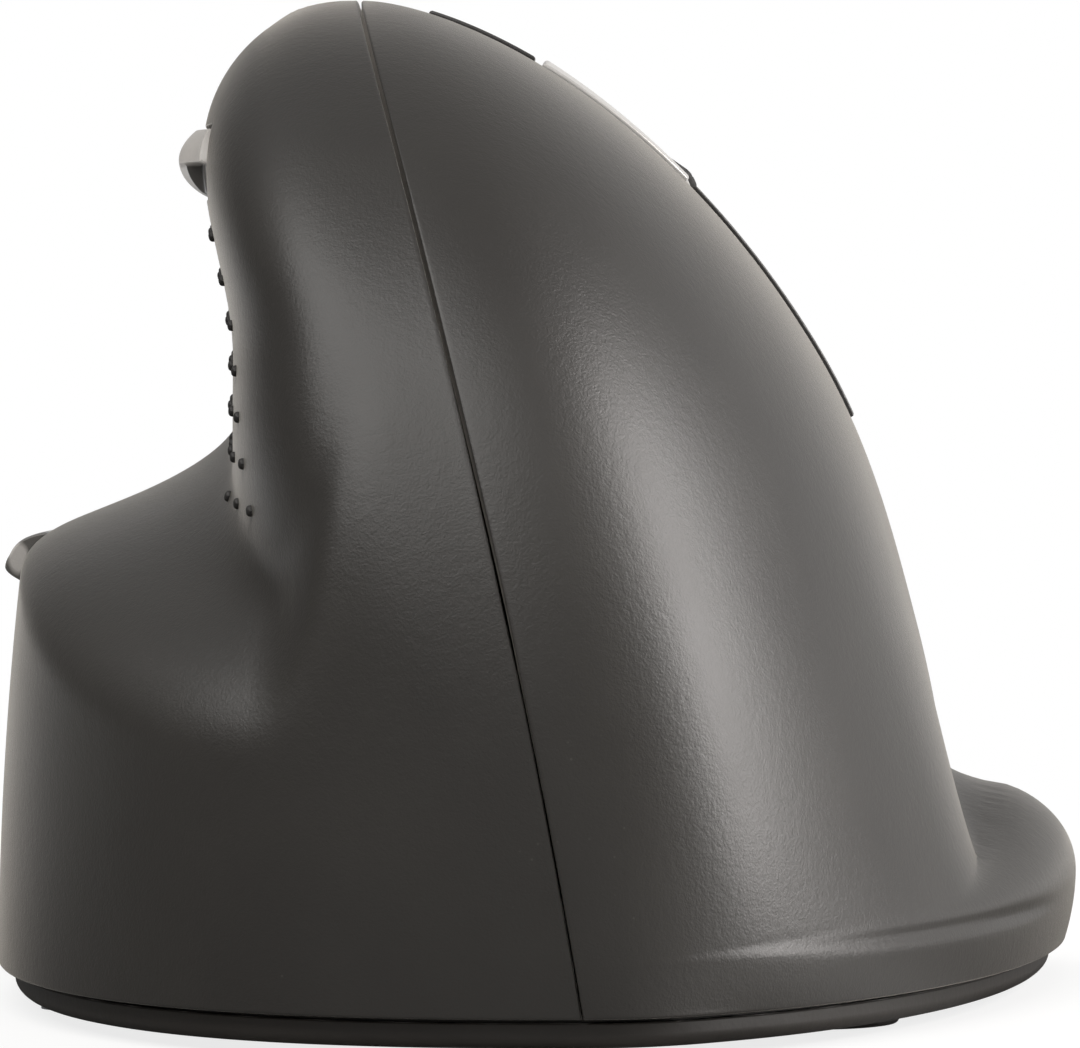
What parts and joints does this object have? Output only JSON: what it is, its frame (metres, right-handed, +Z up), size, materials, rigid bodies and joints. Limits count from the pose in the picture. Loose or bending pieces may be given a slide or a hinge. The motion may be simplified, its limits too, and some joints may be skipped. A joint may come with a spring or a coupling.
{
  "type": "vertical computer mouse",
  "caption": "Tall right-handed vertical mouse with a thumb ledge, palm flange, finger and thumb buttons, a scroll wheel and a flat base on glide feet.",
  "frame": {"origin": "on the desk, under the middle of the part's bounding box", "axes": "+Z up, +Y forward towards the fingertips, -X the thumb side"},
  "size_m": [0.0784, 0.118, 0.0712],
  "materials": {
    "soft_shell": "soft-touch matte",
    "base": "fine matte",
    "strip": "satin silver paint",
    "button": "soft-touch matte",
    "thumb_button": "satin",
    "stud": "matte rubber",
    "frame": "as moulded",
    "steel": "bright",
    "glide": "waxy low-friction plastic",
    "board": "solder-masked board",
    "black_part": "as moulded",
    "lens": "clear",
    "cell": "foil pouch",
    "plunger": "as moulded",
    "tyre": "ribbed rubber",
    "hub": "satin"
  },
  "bodies": {
    "body": {"thumb_shell": "soft_shell", "palm_shell": "soft_shell", "base_plate": "base", "centre_strip": "strip", "grip_studs": "stud", "inner_frame": "frame", "base_screws": "steel", "glide_feet": "glide", "main_board": "board", "controller_chip": "black_part", "optical_sensor": "black_part", "sensor_lens": "lens", "battery_cell": "cell", "charge_socket": "steel", "power_switch": "black_part", "board_screws": "steel", "button_board": "board", "index_switch": "black_part", "middle_switch": "black_part", "wheel_switch": "black_part", "index_hinge_pin": "steel", "middle_hinge_pin": "steel", "cradle_pin": "steel", "upper_thumb_switch": "black_part", "lower_thumb_switch": "black_part", "upper_thumb_board": "board", "lower_thumb_board": "board"},
    "index_button": {"index_button": "button"},
    "middle_button": {"middle_button": "button"},
    "index_plunger": {"index_plunger": "plunger"},
    "middle_plunger": {"middle_plunger": "plunger"},
    "wheel_plunger": {"wheel_plunger": "plunger"},
    "upper_thumb_button": {"upper_thumb_button": "thumb_button"},
    "lower_thumb_button": {"lower_thumb_button": "thumb_button"},
    "upper_thumb_plunger": {"upper_thumb_plunger": "plunger"},
    "lower_thumb_plunger": {"lower_thumb_plunger": "plunger"},
    "power_slider": {"power_slider": "hub"},
    "cradle": {"wheel_cradle": "frame", "wheel_encoder": "black_part"},
    "wheel": {"wheel_hub": "hub", "wheel_tyre": "tyre"}
  },
  "joints": [
    {"name": "index_press", "type": "hinge", "parent": "body", "child": "index_button", "pos_m": [-0.00773, 0.00278, 0.06237], "axis": [-0.7651, 0.3566, 0.5362], "range_deg": [0, 0.9], "stiffness_Nm_per_rad": 0.5, "springref_deg": -1.15},
    {"name": "middle_press", "type": "hinge", "parent": "body", "child": "middle_button", "pos_m": [0.01258, 0.00765, 0.04383], "axis": [-0.7651, 0.3566, 0.5362], "range_deg": [0, 0.9], "stiffness_Nm_per_rad": 0.5, "springref_deg": -1.15},
    {"name": "wheel_press", "type": "hinge", "parent": "body", "child": "cradle", "pos_m": [-0.0017, 0.00601, 0.05519], "axis": [-0.7651, 0.3566, 0.5362], "range_deg": [0, 0.9], "stiffness_Nm_per_rad": 0.8, "springref_deg": -1.15},
    {"name": "wheel_spin", "type": "hinge", "parent": "cradle", "child": "wheel", "pos_m": [0.00272, 0.02096, 0.05155], "axis": [0.7651, -0.3566, -0.5362], "continuous": true},
    {"name": "index_click", "type": "slide", "parent": "body", "child": "index_plunger", "axis": [-0.6324, -0.259, -0.7301], "range_m": [0, 0.0006]},
    {"name": "middle_click", "type": "slide", "parent": "body", "child": "middle_plunger", "axis": [-0.6324, -0.259, -0.7301], "range_m": [0, 0.0006]},
    {"name": "wheel_click", "type": "slide", "parent": "body", "child": "wheel_plunger", "axis": [-0.6324, -0.259, -0.7301], "range_m": [0, 0.0006]},
    {"name": "upper_thumb_press", "type": "slide", "parent": "body", "child": "upper_thumb_button", "axis": [0.9981, -0.0075, 0.0608], "range_m": [0, 0.0004], "stiffness_N_per_m": 1500, "springref_m": -0.0002},
    {"name": "lower_thumb_press", "type": "slide", "parent": "body", "child": "lower_thumb_button", "axis": [0.9916, -0.0541, -0.1175], "range_m": [0, 0.0004], "stiffness_N_per_m": 1500, "springref_m": -0.0002},
    {"name": "upper_thumb_click", "type": "slide", "parent": "body", "child": "upper_thumb_plunger", "axis": [0.9981, -0.0075, 0.0608], "range_m": [0, 0.0006]},
    {"name": "lower_thumb_click", "type": "slide", "parent": "body", "child": "lower_thumb_plunger", "axis": [0.9916, -0.0541, -0.1175], "range_m": [0, 0.0006]},
    {"name": "power_slide", "type": "slide", "parent": "body", "child": "power_slider", "axis": [0, 1, 0], "range_m": [0, 0.002]}
  ],
  "couplings": [
    {"joint": "index_click", "follows": "index_press", "m_per_rad": 0.021716},
    {"joint": "middle_click", "follows": "middle_press", "m_per_rad": 0.024585},
    {"joint": "wheel_click", "follows": "wheel_press", "m_per_rad": 0.03},
    {"joint": "upper_thumb_click", "follows": "upper_thumb_press", "ratio": 1},
    {"joint": "lower_thumb_click", "follows": "lower_thumb_press", "ratio": 1}
  ]
}
